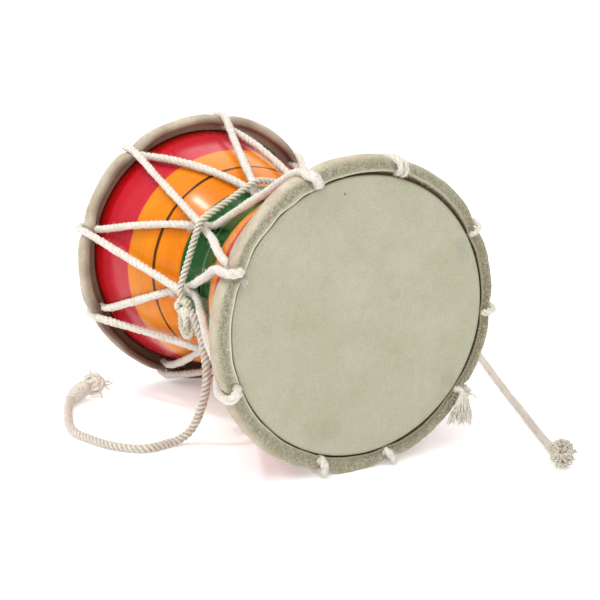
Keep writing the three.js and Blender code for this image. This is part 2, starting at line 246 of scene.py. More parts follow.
def frames_along(line, aside=None):
    """Tangents and two normals that don't spin about the line. The first normal is aside, or the
    direction that the tangents avoid most, squared to the tangent, and then turned back by the
    running sum of how far each normal leans towards the one before it."""
    tangent = unit(np.gradient(line, axis=0))
    if aside is None:
        aside = np.linalg.eigh(tangent.T @ tangent)[1][:, 0][None, :]
    normal = unit(aside - np.sum(aside * tangent, -1, keepdims=True) * tangent)
    other = np.cross(tangent, normal)
    lean = np.sum(np.diff(normal, axis=0) * other[:-1], -1)
    turn = -np.concatenate([[0], np.cumsum(np.arcsin(np.clip(lean, -1, 1)))])[:, None]
    return tangent, normal * np.cos(turn) + other * np.sin(turn), other * np.cos(turn) - normal * np.sin(turn)


def plied_radius(turn, plies, depth):
    """Distance from the middle of a rope to its surface, for a rope radius of 1: plies round yarns
    whose middles stand at depth from the rope's middle, each 1 - depth thick, and swollen so that
    neighbours touch."""
    share = np.abs((turn * plies / (2 * np.pi)) % 1 - 0.5) * 2 * np.pi / plies
    off = np.pi / plies - share
    thick = max(1 - depth, 1.02 * depth * np.sin(np.pi / plies))
    inside = np.maximum(thick**2 - (depth * np.sin(off)) ** 2, (0.25 * thick) ** 2)
    radius = depth * np.cos(off) + np.sqrt(inside)
    return radius / (depth + thick)


def rope_rings(line, radius, sides, plies, pitch, depth, yarns=0.035, aside=None, seed=1, wander=0.03,
               rough=0.02, loose=0.0):
    """Rings of a twisted rope: the plied outline turns once every pitch, fine yarns ripple the
    surface the other way, a slow random wander swells it, and rough is how much each point stands
    in or out at random. Where the rope is loose, its plies run together."""
    along = lengths_along(line)
    tangent, normal, other = frames_along(line, aside)
    round_turn = 2 * np.pi * np.arange(sides) / sides
    twist = round_turn[None, :] - 2 * np.pi * along[:, None] / pitch
    kept = 1 - np.broadcast_to(loose, along.shape)[:, None]
    shape = 1 - kept * (1 - plied_radius(twist, plies, depth))
    ripple = np.sin(7 * round_turn[None, :] + 2 * np.pi * along[:, None] / (0.19 * pitch))
    draw = default_rng(seed)
    radius = np.broadcast_to(radius, along.shape)
    knots = max(4, int(along[-1] / (3 * radius.mean())))
    swell = np.interp(along, np.linspace(0, along[-1], knots), draw.normal(0, wander, knots))
    coarse = draw.normal(0, rough, shape.shape).clip(-2 * rough, 2 * rough)
    reach = (radius * (1 + swell))[:, None] * shape * (1 + yarns * ripple + coarse)
    cos, sin = np.cos(round_turn)[None, :, None], np.sin(round_turn)[None, :, None]
    return line[:, None, :] + reach[..., None] * (normal[:, None] * cos + other[:, None] * sin)


def make_rope(name, line, radius, material, sides=20, plies=3, pitch=10 * MM, depth=0.5, **more):
    """A closed rope whose points are marked with how deep they lie between the plies."""
    rings = rope_rings(line, radius, sides, plies, pitch, depth, **more)
    reach = np.linalg.norm(rings - line[:, None], axis=-1)
    highest = np.percentile(reach, 90, axis=1, keepdims=True)
    valley = np.clip((0.97 - reach / highest) / 0.22, 0, 1)
    rings[..., 2] = np.maximum(rings[..., 2], 0.05 * MM)
    points, walls, fans = capped(rings, line[[0, -1]])
    walls_uv = grid_uv(lengths_along(line), sides)
    fans_uv = np.zeros((len(fans), 3, 2))
    marks = {"valley": np.append(valley.ravel(), [0, 0])}
    return make_piece(name, points, [walls, fans], material, uv=[walls_uv, fans_uv], marks=marks)


def joined(parts):
    """One array of points and faces from several meshes of points, walls and fans."""
    points, walls, fans, first = [], [], [], 0
    for some, wall, fan in parts:
        points.append(some)
        walls.append(wall + first)
        fans.append(fan + first)
        first += len(some)
    return np.concatenate(points), np.concatenate(walls), np.concatenate(fans)


def fibres(roots, ways, lengths, radii, curl, seed, drop=0.0, kink=0.0, rings=3, sides=3):
    """Hairs or yarns. Each starts at its root along its way, bends by curl times its length
    towards a random direction square to it and by drop towards the floor, both growing with the
    square of the distance, and sways by kink times a sine of one and a half waves. It thins
    towards its tip, and none of it lies under the floor."""
    draw = default_rng(seed)
    count = len(roots)
    side = unit(np.cross(ways, draw.normal(size=(count, 3))))
    normal = unit(np.cross(ways, side))
    phase = draw.uniform(0, 2 * np.pi, (count, 1, 1))
    size = np.broadcast_to(lengths, count)[:, None, None]
    thick = np.broadcast_to(radii, count)[:, None, None, None]
    t = np.append(np.linspace(0, 0.92, rings), 1)[None, :, None]
    bend = curl * side[:, None] + drop * np.array([0, 0, -1.0])
    sway = kink * t * np.sin(3 * np.pi * t + phase) * normal[:, None]
    line = roots[:, None] + size * (t * ways[:, None] + t**2 * bend + sway)
    angle = (2 * np.pi * np.arange(sides) / sides)[None, None, :, None]
    around = normal[:, None, None] * np.cos(angle) + side[:, None, None] * np.sin(angle)
    tubes = line[:, :-1, None] + thick * (1 - 0.45 * t[:, :-1, None]) * around
    tail = roots - 0.05 * size[:, 0] * ways
    points = np.concatenate([tubes.reshape(count, -1, 3), tail[:, None], line[:, -1:]], 1)
    points[..., 2] = np.maximum(points[..., 2], 0.04 * MM)
    walls = grid_faces(rings, sides)
    last = (rings - 1) * sides
    fans = np.concatenate([pole_faces(0, rings * sides, sides, True),
                           pole_faces(last, rings * sides + 1, sides, False)])
    first = points.shape[1] * np.arange(count)[:, None, None]
    walls = (walls[None] + first).reshape(-1, 4)
    return points.reshape(-1, 3), walls, (fans[None] + first).reshape(-1, 3)


def make_fibres(name, material, *shape, **more):
    points, walls, fans = fibres(*shape, **more)
    return make_piece(name, points, [walls, fans], material)


def lint_on(name, line, radius, per_metre, length, seed, aside=None, busy=None):
    """Loose hairs at random places on a rope, leaning along it, and denser where busy is larger."""
    draw = default_rng(seed)
    count = int(per_metre * lengths_along(line)[-1])
    tangent, normal, other = frames_along(line, aside)
    share = None if busy is None else busy / busy.sum()
    pick = draw.choice(len(line), count, p=share)
    turn = draw.uniform(0, 2 * np.pi, (count, 1))
    outward = normal[pick] * np.cos(turn) + other[pick] * np.sin(turn)
    lean = draw.normal(0, 1.1, (count, 1))
    ways = unit(outward + lean * tangent[pick] + draw.normal(0, 0.35, (count, 3)))
    sizes = length * draw.uniform(0.35, 1.25, count)
    roots = line[pick] + outward * radius * 0.9
    return make_fibres(name, COTTON_HAIR, roots, ways, sizes, 0.04 * MM, 0.55, seed)


# Places round the drum

def place(x, radius, degrees):
    """The point at x along the drum, radius from its axis and degrees from up towards +Y."""
    turn = np.radians(degrees)
    parts = (x, radius * np.sin(turn), AXIS_HEIGHT + radius * np.cos(turn))
    return np.stack(np.broadcast_arrays(*parts), -1)


def shell_radius(x):
    """Outside of the shell: a cubic through the stations' radii and slopes, the same each side."""
    along = np.minimum(np.abs(x), MOUTH) / MM
    at, radius, slope = SHELL_STATIONS.T
    i = np.clip(np.searchsorted(at, along), 1, len(at) - 1)
    span = at[i] - at[i - 1]
    t = (along - at[i - 1]) / span
    return MM * ((2 * t**3 - 3 * t**2 + 1) * radius[i - 1] + (t**3 - 2 * t**2 + t) * span * slope[i - 1]
                 + (3 * t**2 - 2 * t**3) * radius[i] + (t**3 - t**2) * span * slope[i])


def bore_radius(x):
    """Inside of the shell: the wall is 5 mm thick at the mouths and 17 mm at the waist."""
    return shell_radius(x) - (5 + 12 * np.exp(-((x / (34 * MM)) ** 2))) * MM


def joint_angle(k):
    angles = np.radians([loops[i % LOOPS] for loops in (FRONT_LOOPS, BACK_LOOPS) for i in (k - 1, k)])
    return np.degrees(np.arctan2(np.sin(angles).sum(), np.cos(angles).sum())) % 360


def periodic(turn, orders, seed):
    """A random wave round a circle: cosines of the given orders with random phases and sizes
    that fall with the square root of the order, scaled to plus or minus one."""
    draw = default_rng(seed)
    orders = np.asarray(orders)[:, None]
    sizes = draw.normal(size=(len(orders), 1)) / np.sqrt(orders)
    phases = draw.uniform(0, 2 * np.pi, (len(orders), 1))
    wave = np.sum(sizes * np.cos(orders * np.ravel(turn)[None] + phases), 0)
    return (wave / np.abs(wave).max()).reshape(np.shape(turn))


# Materials

def linear(code):
    """sRGB hex to linear colour with alpha."""
    value = np.array([int(code[i:i + 2], 16) for i in (1, 3, 5)]) / 255
    low = value <= 0.04045
    return (*np.where(low, value / 12.92, ((value + 0.055) / 1.055) ** 2.4), 1.0)


def put(value, socket):
    """A socket's value, or what is linked into it. A node stands for its first output in use."""
    if isinstance(value, bpy.types.Node):
        value = next(output for output in value.outputs if output.enabled)
    if isinstance(value, bpy.types.NodeSocket):
        socket.id_data.links.new(value, socket)
    else:
        socket.default_value = value


def add_node(tree, kind, inputs=None, stops=None, **settings):
    """A new shader node with what goes into its sockets, a ramp's places and colours, and its own
    properties."""
    made = tree.nodes.new("ShaderNode" + kind)
    for key, value in settings.items():
        setattr(made, key, value)
    if stops:
        ramp = made.color_ramp
        while len(ramp.elements) < len(stops):
            ramp.elements.new(1)
        for element, (at, code) in zip(ramp.elements, stops):
            element.position = at
            element.color = linear(code)
    for key, value in (inputs or {}).items():
        put(value, made.inputs[key])
    return made


def new_material(name):
    """A material, its shader and the function that adds a node to it."""
    material = bpy.data.materials.new(name)
    material.use_nodes = True
    tree = material.node_tree
    tree.nodes.clear()
    shader = add_node(tree, "BsdfPrincipled")
    put(shader, add_node(tree, "OutputMaterial").inputs[0])
    return material, shader, partial(add_node, tree)


def lacquered_wood():
    """Turned wood under shellac colours laid on in the lathe: soft-edged bands a little
    closer to the waist on the near half, a thin pale line at the waist that is a painted
    highlight, a hand-held black line of uneven width, fine turning rings that break up the
    gloss, and a clear hard shine."""
    material, shader, add = new_material("lacquered_turned_wood")
    where = add("TexCoord").outputs["Object"]
    axes = add("SeparateXYZ", {0: where})
    waver = add("TexNoise", {0: where, "Scale": 42, "Detail": 3})
    centred = add("Math", {0: waver, 1: 0.5}, operation="SUBTRACT")
    either = add("Math", {0: axes}, operation="ABSOLUTE")
    near_half = add("Math", {0: axes, 1: 0}, operation="MAXIMUM")
    along = add("Math", {0: near_half, 1: 0.08, 2: either}, operation="MULTIPLY_ADD")
    shifted = add("Math", {0: centred, 1: 1.1 * MM, 2: along}, operation="MULTIPLY_ADD")
    share = add("Math", {0: shifted, 1: MOUTH}, operation="DIVIDE")
    soft = 0.35 * MM
    # The first band, a thin pale green line at the waist, is a painted highlight.
    bands = [
        (0.4 * MM, "#6F8A6C", "#0C4A16"), (16.9 * MM, "#0E5018", "#D87408"),
        (49.2 * MM, "#DC8416", "#BC2230"), (70.8 * MM, "#B8202E", "#C40C12"),
    ]
    stops = [(0, "#6F8A6C")]
    for at, inner, outer in bands:
        stops += [((at - soft) / MOUTH, inner), ((at + soft) / MOUTH, outer)]
    stops += [(1, "#B00A10")]
    colours = add("ValToRGB", {0: share}, stops)
    off_line = add("Math", {0: shifted, 1: LINE_X}, operation="SUBTRACT")
    from_line = add("Math", {0: off_line}, operation="ABSOLUTE")
    pressure = add("TexNoise", {0: where, "Scale": 24, "Detail": 2})
    half = add("MapRange", {0: pressure, 1: 0.35, 2: 0.65, 3: 0.45 * MM, 4: 0.95 * MM})
    edge = add("Math", {0: half, 1: from_line}, operation="SUBTRACT")
    painted = add("MapRange", {0: edge, 1: -0.15 * MM, 2: 0.15 * MM, 4: 0.93})
    lined = add("Mix", {0: painted, 6: colours, 7: linear("#2A1408")}, data_type="RGBA")
    streak_place = add("Mapping", {0: where, "Scale": (900, 14, 14)})
    streaks = add("TexNoise", {0: streak_place, "Scale": 1, "Detail": 4})
    tone = add("MapRange", {0: streaks, 1: 0.3, 2: 0.7, 3: 0.9, 4: 1.05})
    toned = add("VectorMath", {0: lined, "Scale": tone}, operation="SCALE")
    put(toned, shader.inputs["Base Color"])
    smear = add("TexNoise", {0: where, "Scale": 90, "Detail": 5})
    dull = add("MapRange", {0: smear, 1: 0.3, 2: 0.75, 3: 0.2, 4: 0.34})
    put(dull, shader.inputs["Roughness"])
    relief = add("Bump", {"Strength": 0.25, "Distance": 0.05 * MM, "Height": streaks})
    pitted = add("Bump", {"Strength": 0.18, "Distance": 0.25 * MM, "Height": waver, "Normal": relief})
    put(pitted, shader.inputs["Normal"])
    shader.inputs["IOR"].default_value = 1.26
    shader.inputs["Coat Weight"].default_value = 0.15
    shader.inputs["Coat Roughness"].default_value = 0.15
    return material


def drum_hide():
    """Scraped and limed hide: smooth and matt with faint clouds, a leathery grain, pores and
    stains on the skin, paler on the rolled outside, nappy and speckled on the rim's face. The
    marks are the nappy strip, painted shade in the groove, the rolled outside, the clean pale lip,
    the darker olive-brown of the strip's right side, partly the hide's own colour and partly
    painted shade, and painted shade on the dusky back."""
    material, shader, add = new_material("limed_drum_hide")
    where = add("TexCoord").outputs["Object"]
    flesh, recess_shade, outer, cut, olive_and_shade, back_shade = (
        add("Attribute", attribute_name=mark).outputs["Fac"] for mark in HIDE_MARKS)
    cloud = add("TexNoise", {0: where, "Scale": 34, "Detail": 7, "Roughness": 0.6})
    skin = add("ValToRGB", {0: cloud}, [(0.3, "#A3A188"), (0.48, "#AAA891"), (0.7, "#B1AF9B")])
    pores = add("TexNoise", {0: where, "Scale": 1100, "Detail": 5})
    grain = add("TexNoise", {0: where, "Scale": 230, "Detail": 6, "Roughness": 0.7, "Distortion": 0.8})
    folds = add("Math", {0: grain, 1: 0.6, 2: pores}, operation="MULTIPLY_ADD")
    fold_tone = add("MapRange", {0: folds, 1: 0.6, 2: 1, 3: 0.91, 4: 1.08})
    skin_toned = add("VectorMath", {0: skin, "Scale": fold_tone}, operation="SCALE")
    marked = skin_toned
    for spot, size, strength, colour in STAINS:
        off = add("VectorMath", {0: where, 1: np.array(spot) * MM}, operation="DISTANCE")
        blurred = add("Math", {0: cloud, 1: -1.6 * size * MM, 2: off}, operation="MULTIPLY_ADD")
        share = add("MapRange", {0: blurred, 1: -0.2 * size * MM, 2: 0.7 * size * MM,
                                       3: strength, 4: 0}, interpolation_type="SMOOTHSTEP")
        marked = add("Mix", {0: share, 6: marked, 7: linear(colour)}, data_type="RGBA")
    nap = add("TexNoise", {0: where, "Scale": 800, "Detail": 5, "Roughness": 0.75})
    mottle = add("TexNoise", {0: where, "Scale": 120, "Detail": 8, "Roughness": 0.75})
    outside = add("ValToRGB", {0: mottle}, [(0.3, "#9F937D"), (0.5, "#B8AC96"), (0.7, "#CCC3B0")])
    suede = add("ValToRGB", {0: nap},
                [(0.32, "#706B55"), (0.5, "#928D75"), (0.62, "#A8A38C"), (0.74, "#CCC8B5")])
    # The darker olive-brown on the right of the nappy strip: partly the hide's own colour, partly painted
    # shade.
    olive_shade_share = add("Math", {0: olive_and_shade, 1: 0.75}, operation="MULTIPLY")
    olive_shaded_suede = add("Mix", {0: olive_shade_share, 6: suede, 7: linear("#7A6F4C")}, data_type="RGBA")
    # Layers over the skin: the rolled outside, painted shade on the dusky back, the nappy strip with its
    # olive-brown right side, the pale cut lip and painted shade in the groove.
    layers = [(outer, outside), (back_shade, linear("#6E5048")), (flesh, olive_shaded_suede), (cut, linear("#D6CFBA")),
              (recess_shade, linear("#56432F"))]
    for share, layer in layers:
        marked = add("Mix", {0: share, 6: marked, 7: layer}, data_type="RGBA")
    put(marked, shader.inputs["Base Color"])
    shader.inputs["Roughness"].default_value = 0.75
    shader.inputs["IOR"].default_value = 1.4
    rough_height = add("Math", {0: nap, 1: flesh}, operation="MULTIPLY")
    nap_bump = add("Bump", {"Strength": 0.7, "Distance": 0.4 * MM, "Height": rough_height})
    fine = add("Bump", {"Strength": 0.3, "Distance": 0.14 * MM, "Height": folds, "Normal": nap_bump})
    put(fine, shader.inputs["Normal"])
    return material


def cotton(name, pale, shade, valley_shade, spun=0.4 * MM):
    """Soft undyed cotton: matt, with a bloom of loose hairs, yarns lying slantwise at the spun
    spacing, a little coarser than real ones, and painted shade in the valleys between the plies."""
    material, shader, add = new_material(name)
    where = add("TexCoord")
    lay = add("Mapping", {0: where.outputs["UV"], "Scale": (1 / spun, 11, 1)})
    yarn = add("TexWave", {0: lay, "Scale": 0.32, "Distortion": 1.6, "Detail": 3,
                                 "Detail Scale": 1.5}, bands_direction="DIAGONAL")
    hair = add("TexNoise", {0: where.outputs["Object"], "Scale": 900, "Detail": 5, "Roughness": 0.7})
    patch = add("TexNoise", {0: where.outputs["Object"], "Scale": 110, "Detail": 3})
    both = add("Math", {0: yarn.outputs["Fac"], 1: 0.35, 2: hair}, operation="MULTIPLY_ADD")
    mixed = add("Math", {0: patch, 1: 0.5, 2: both}, operation="MULTIPLY_ADD")
    tint = add("MapRange", {0: mixed, 1: 0.6, 2: 1.1, 3: 0, 4: 1})
    colour = add("Mix", {0: tint, 6: linear(shade), 7: linear(pale)}, data_type="RGBA")
    # Painted shade: the valleys between the plies are darkened towards the third colour.
    valley = add("Attribute", attribute_name="valley")
    valley_shade_share = add("Math", {0: valley.outputs["Fac"], 1: 0.6}, operation="MULTIPLY")
    valley_shaded = add("Mix", {0: valley_shade_share, 6: colour, 7: linear(valley_shade)}, data_type="RGBA")
    put(valley_shaded, shader.inputs["Base Color"])
    relief = add("Bump", {"Strength": 0.8, "Distance": 0.35 * MM, "Height": both})
    put(relief, shader.inputs["Normal"])
    shader.inputs["Roughness"].default_value = 0.95
    shader.inputs["Sheen Weight"].default_value = 0.3
    shader.inputs["Sheen Roughness"].default_value = 0.5
    return material


LACING_COTTON = cotton("lacing_cotton", "#E9E4DA", "#CCC3B4", "#AFA594")
GIRDLE_COTTON = cotton("girdle_cotton", "#E8E4D5", "#C0BCA6", "#827E64")
STRIKER_COTTON = cotton("striker_cotton", "#E2DBD0", "#BEB3A4", "#857A6B")
# A paler copy of the striker cotton for the left knot: painted light that lifts the knot out of the shade it
# lies in.
LIT_KNOT_COTTON = cotton("lit_knot_cotton", "#F1ECE4", "#D6CBBE", "#B0A494")
COTTON_HAIR = cotton("cotton_hair", "#E8E4DC", "#D8D1C6", "#C4BCB0")


# Free cords, each with its end knot


def striker_knot_place(route):
    heading = unit(route[-1, :2] - route[-2, :2])
    centre = np.array([*(route[-1, :2] + heading * (KNOT_RADIUS + 0.3 * MM)), KNOT_RADIUS])
    return centre, np.array([*heading, 0.0])


def wound(centre, axis, polar, ball, turns, start=0.0):
    """A spiral on a ball about an axis: its angle from the axis runs through the polar degrees
    while it goes turns times round."""
    axis = unit(np.asarray(axis, float))
    side = unit(np.cross(axis, [0.31, 0.17, 0.93]))
    other = np.cross(axis, side)
    t = np.linspace(0, 1, int(14 * turns) + 1)
    lean = np.radians(np.interp(t, np.linspace(0, 1, len(polar)), polar))[:, None]
    angle = 2 * np.pi * (turns * t + start)[:, None]
    return centre + ball * (np.cos(lean) * axis + np.sin(lean) * (np.cos(angle) * side + np.sin(angle) * other))


def coil(route, radius, seed, pitch=6 * MM, plies=3):
    line = smooth_route(route, 0.4 * MM)
    return capped(rope_rings(line, radius, 18, plies, pitch, 0.5, seed=seed), line[[0, -1]])


def bud(centre, radius):
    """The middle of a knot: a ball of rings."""
    lean = np.linspace(0.15, np.pi - 0.15, 12)[:, None, None]
    turn = (2 * np.pi * np.arange(20) / 20)[None, :, None]
    ring = np.sin(lean) * (np.cos(turn) * [1.0, 0, 0] + np.sin(turn) * [0, 1.0, 0])
    rings = centre + radius * (ring + np.cos(lean) * [0, 0, 1.0])
    return capped(rings, centre + radius * np.array([[0, 0, 1.0], [0, 0, -1.0]]))


def tuft(centre, towards, count, narrow, sizes, radii, depth, seed, **more):
    """Cut yarn ends, sized in mm, that leave a ball of that depth within a cone of directions."""
    draw = default_rng(seed)
    ways = unit(unit(towards) + narrow * draw.normal(size=(count, 3)))
    lengths = draw.uniform(*sizes, count) * MM
    return fibres(centre + depth * ways, ways, lengths, draw.uniform(*radii, count) * MM, 0.5, seed + 1,
                  **more)


def end_knot(name, replaced, parts, material):
    points, walls, fans = joined(parts)
    points[:, 2] = np.maximum(points[:, 2], 0.05 * MM)
    knot = make_piece(name, points, [walls, fans], material)
    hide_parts(replaced)
    return knot


def make_left_knot():
    """Cord wound in arcs that nest towards the viewer's side, with loose wisps on top and a
    few curled ends at the right."""
    centre, heading = striker_knot_place(LEFT_ROUTE)
    facing = np.array([0.85, -0.42, 0.3])
    parts = [
        bud(centre, 4.6 * MM),
        coil(wound(centre, facing, [112, 78, 44, 14], 4.6 * MM, 2.7, 0.35), 1.45 * MM, 41, 9 * MM, 2),
        tuft(centre, [0.3, 0.9, -0.1], 7, 0.35, (3.6, 6), (0.5, 0.8), 4.2 * MM, 42,
             kink=0.12, rings=7, sides=7),
        tuft(centre, [-0.2, -0.5, 0.7], 16, 0.5, (3, 6.5), (0.12, 0.3), 4.5 * MM, 44,
             kink=0.1, rings=6, sides=5),
        tuft(centre, [0.2, 0.5, 0.8], 5, 0.2, (6, 10), (0.08, 0.14), 4.5 * MM, 46,
             kink=0.08, rings=8, sides=5),
    ]
    return end_knot("left_striker_end_knot", "left_striker_knot", parts, LIT_KNOT_COTTON)


def make_right_knot():
    """A smooth wrap next to the cord, and past it a ball crowded with short curled ends."""
    centre, heading = striker_knot_place(RIGHT_ROUTE)
    parts = [
        bud(centre, 4.8 * MM),
        coil(wound(centre, -heading, [30, 55, 78], 4.4 * MM, 1.9, 0.1), 1.9 * MM, 61, 14 * MM, 2),
        tuft(centre, heading + [0.25, -0.1, 0.3], 120, 0.62, (2.2, 3.6), (0.5, 0.95),
             3.9 * MM, 62, kink=0.16, rings=6, sides=7),
        tuft(centre, heading + [0.2, 0, 0.3], 70, 0.8, (2.4, 4.6), (0.08, 0.2),
             4.6 * MM, 64, kink=0.1, rings=5, sides=5),
    ]
    return end_knot("right_striker_end_knot", "right_striker_knot", parts, STRIKER_COTTON)


def make_striker(side, route, seed, knot, cord_radius, swelling):
    """A limp twisted cord. Near its knot the plies fluff up by the swelling over 18 mm."""
    line = smooth_route(route, 0.4 * MM)
    along = lengths_along(line)
    loose = np.clip(1 - (along[-1] - along) / (18 * MM), 0, 1)
    radius = cord_radius * (1 + swelling * np.sin(0.62 * np.pi * loose))
    rope = make_rope(f"{side}_striker_rope", line, radius, STRIKER_COTTON, sides=24, plies=3, pitch=7 * MM,
                     depth=0.45, yarns=0.05, seed=seed, rough=0.04, loose=swelling * loose * (2 - loose))
    lint = lint_on(f"{side}_striker_lint", line, radius.mean(), 4400, 1.3 * MM, seed + 2, busy=1 + 3 * loose)
    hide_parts(f"{side}_striker_cord")


# Lacing rope

BEHIND_RIM = [[70, 66.8, 0]]
TURN_ASIDE = [0, 0, 1.05]
TWICE_ROUND = 0

# How much fuller or thinner the rope is at each front loop

LOOP_FULLNESS = [-0.28, 0.3, -0.05, 0.12, 0.0, -0.12, -0.18, -0.3, -0.28]


def loop_points(side, degrees, twice=False):
    """The loop's stations as points. A loop that goes twice round passes behind the rim
    between. At the right, where the rim is slimmer, the loops lie closer."""
    stations = LOOP_STATIONS
    if twice:
        stations = np.vstack([stations + TURN_ASIDE, BEHIND_RIM, stations - TURN_ASIDE])
    along, radius, share = stations.T
    radius = radius - 1.3 * bell(degrees, 95, 45) * np.clip((radius - 66) / 3, 0, 1)
    return place(side * along * MM, radius * MM, degrees + share * LOOP_SPREAD)


def near_loops(line, amounts, reach):
    """A sum of bells of that reach round the tops of the front loops, each with its own amount."""
    total = np.zeros(len(line))
    for degrees, amount in zip(FRONT_LOOPS, amounts):
        top = place(LOOP_STATIONS[LOOP_FRONT, 0] * MM, LOOP_STATIONS[LOOP_FRONT, 1] * MM, degrees)
        total += amount * np.exp(-((np.linalg.norm(line - top, axis=1) / reach) ** 2))
    return total


def between(start, end):
    """Two points on the way, at 0.4 and 0.75, lifted off the shell where they would touch it."""
    points = start + np.array([[0.4], [0.75]]) * (end - start)
    middle = np.array([0, 0, AXIS_HEIGHT])
    radial = (points - middle) * [0, 1, 1]
    radius = np.linalg.norm(radial, axis=1, keepdims=True)
    least = shell_radius(points[:, :1]) + ROPE_RADIUS + STRAND_CLEARANCE
    return points + radial * (np.maximum(least / radius, 1) - 1)


def strand(start, k, end, upper):
    """The way from one rim to the other by joint k. The two strands of a joint cross on the back
    side of the girdle, the upper over the lower, and lie side by side under the girdle."""
    degrees = joint_angle(k)
    lowest = shell_radius(CROSSING_X) + ROPE_RADIUS + ROPE_OFF_SHELL
    raised = 2 * ROPE_RADIUS + 0.3 * MM
    crossing = place(CROSSING_X, lowest + raised * upper, degrees)
    aside = -STRAND_SIDESTEP if upper else STRAND_SIDESTEP
    under_girdle = place(GIRDLE_X, UNDER_GIRDLE, degrees + aside)
    waist = [crossing, under_girdle] if upper else [under_girdle, crossing]
    return np.vstack([between(start, waist[0]), waist, between(end, waist[1])[::-1]])


def lacing_route():
    """From the first front loop to a back loop and on to the front again, nine times round."""
    route = [loop_points(1, FRONT_LOOPS[FIRST_LOOP])[LOOP_FRONT + 1:]]
    for i in range(LOOPS):
        front = (FIRST_LOOP + 2 * i) % LOOPS
        back = (front + 1) % LOOPS
        after = (front + 2) % LOOPS
        back_loop = loop_points(-1, BACK_LOOPS[back])
        front_loop = loop_points(1, FRONT_LOOPS[after], after == TWICE_ROUND)
        route.append(strand(route[-1][-1], back, back_loop[0], False))
        route.append(back_loop)
        route.append(strand(back_loop[-1], after, front_loop[0], True))
        route.append(front_loop if i < LOOPS - 1 else front_loop[:LOOP_FRONT])
    along, radius, past = TAIL_STATIONS.T
    route.append(place(along * MM, radius * MM, FRONT_LOOPS[FIRST_LOOP] + past))
    return np.vstack(route)


def circling(line):
    """At each point of a line, the direction round the drum's axis."""
    return unit(np.cross([1.0, 0, 0], line - np.array([0, 0, AXIS_HEIGHT])))


def make_lacing():
    """The laced rope, which thins to a core inside the tassel at its end, with its loose hairs."""
    line = smooth_route(lacing_route(), 0.9 * MM)
    left = lengths_along(line)[-1] - lengths_along(line)
    thinned = np.clip(0.45 + left / (16 * MM), 0, 0.94)
    radius = ROPE_RADIUS * (thinned + near_loops(line, LOOP_FULLNESS, 7 * MM))
    rope = make_rope("laced_cotton_rope", line, radius, LACING_COTTON, sides=16, plies=3, pitch=9 * MM,
                     depth=0.28, yarns=0.03, aside=circling(line), seed=3, wander=0.06, rough=0.07)
    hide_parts("lacing_rope")
    busy = 1 + 4 * near_loops(line, np.ones(LOOPS), 9 * MM)
    lint = lint_on("lacing_lint", line, ROPE_RADIUS, 2950, 1.4 * MM, 4, circling(line), busy)
    make_tassel(line[-12])
    make_rope_frays()


def make_tassel(top):
    """The rope's frayed tail: yarns that leave it as a falling spray, wider along the rim than
    across it, and a few that stray out to the side."""
    draw = default_rng(21)
    count = 130
    slant = draw.uniform(0, 2 * np.pi, count)
    spread = np.sqrt(draw.uniform(0, 1, count))
    out = np.stack([0.55 * np.cos(slant), np.sin(slant), np.zeros(count)], -1) * spread[:, None]
    roots = top + out * 1.8 * MM + [0.2 * MM, 0.3 * MM, 0.4 * MM]
    fall = fibres(roots, unit(out * 0.38 + [0, -0.04, -1]), draw.uniform(10.5, 16, count) * MM,
                  draw.uniform(0.18, 0.36, count) * MM, 0.14, 22, kink=0.07, rings=10, sides=5)
    strays = 14
    ways = unit(np.array([0.1, 1.0, 0.05]) + draw.normal(0, 0.22, (strays, 3)))
    side = fibres(top + ways * MM, ways, draw.uniform(6, 10.5, strays) * MM,
                  draw.uniform(0.12, 0.26, strays) * MM, 0.2, 23, drop=0.45, kink=0.07, rings=9, sides=5)
    points, walls, fans = joined([fall, side])
    return make_piece("lacing_tassel", points, [walls, fans], LACING_COTTON)


def make_rope_frays():
    """Broken yarns where the rope dives into the groove at the upper left, and at two joints."""
    draw = default_rng(27)
    spots = [
        (place(82.6 * MM, 63.4 * MM, 292.5), [0.5, 0.75, -0.45], 40, 0.45, 3.2),
        (place(-11 * MM, 47 * MM, joint_angle(2) - 4), [-0.4, -0.6, -0.6], 26, 0.5, 3.4),
        (place(-11 * MM, 47 * MM, joint_angle(3) - 4), [-0.4, -0.6, -0.5], 18, 0.5, 2.8),
    ]
    parts = []
    for k, (root, way, count, narrow, reach) in enumerate(spots):
        ways = unit(unit(np.array(way)) + narrow * draw.normal(size=(count, 3)))
        sizes = draw.uniform(0.5, 1.2, count) * reach * MM
        parts.append(fibres(root + ways * 0.4 * MM, ways, sizes, draw.uniform(0.08, 0.2, count) * MM, 0.5,
                            28 + k, rings=5))
    points, walls, fans = joined(parts)
    return make_piece("rope_frays", points, [walls, fans], COTTON_HAIR)


# Girdle cord and its knots

def girdle_route():
    angles = np.array([joint_angle(k) for k in GIRDLE_ORDER])
    angles = np.where(angles < angles[0], angles + 360, angles)
    route = [place(GIRDLE_X, 45.6 * MM, 258)]
    for i, degrees in enumerate(angles):
        over = np.array([GIRDLE_SHOULDER, GIRDLE_OVER_JOINT, GIRDLE_SHOULDER])
        route += list(place(GIRDLE_X, over, degrees + SHOULDER_ANGLE * np.array([-1, 0, 1])))
        if i < LOOPS - 1:
            half = (angles[i + 1] - degrees) / 2
            middle = GIRDLE_SHOULDER * np.cos(np.radians(half - SHOULDER_ANGLE))
            route.append(place(GIRDLE_X, middle, degrees + half))
    route.append(place(GIRDLE_X, 44.8 * MM, 254))
    return np.array(route)


def hanging_bow(top, length, width, turn):
    """An open loop of cord that leaves the top, hangs down and comes back to it."""
    t = np.linspace(0, 1, 15)[:, None]
    swing = np.sin(2 * np.pi * t) * width / 2
    fall = (1 - np.cos(2 * np.pi * t)) / 2 * length
    aside = np.array([np.cos(turn), np.sin(turn), 0])
    return top + swing * aside - fall * np.array([0, 0, 1.0]) + t * np.array([0.6, -0.8, 0]) * MM


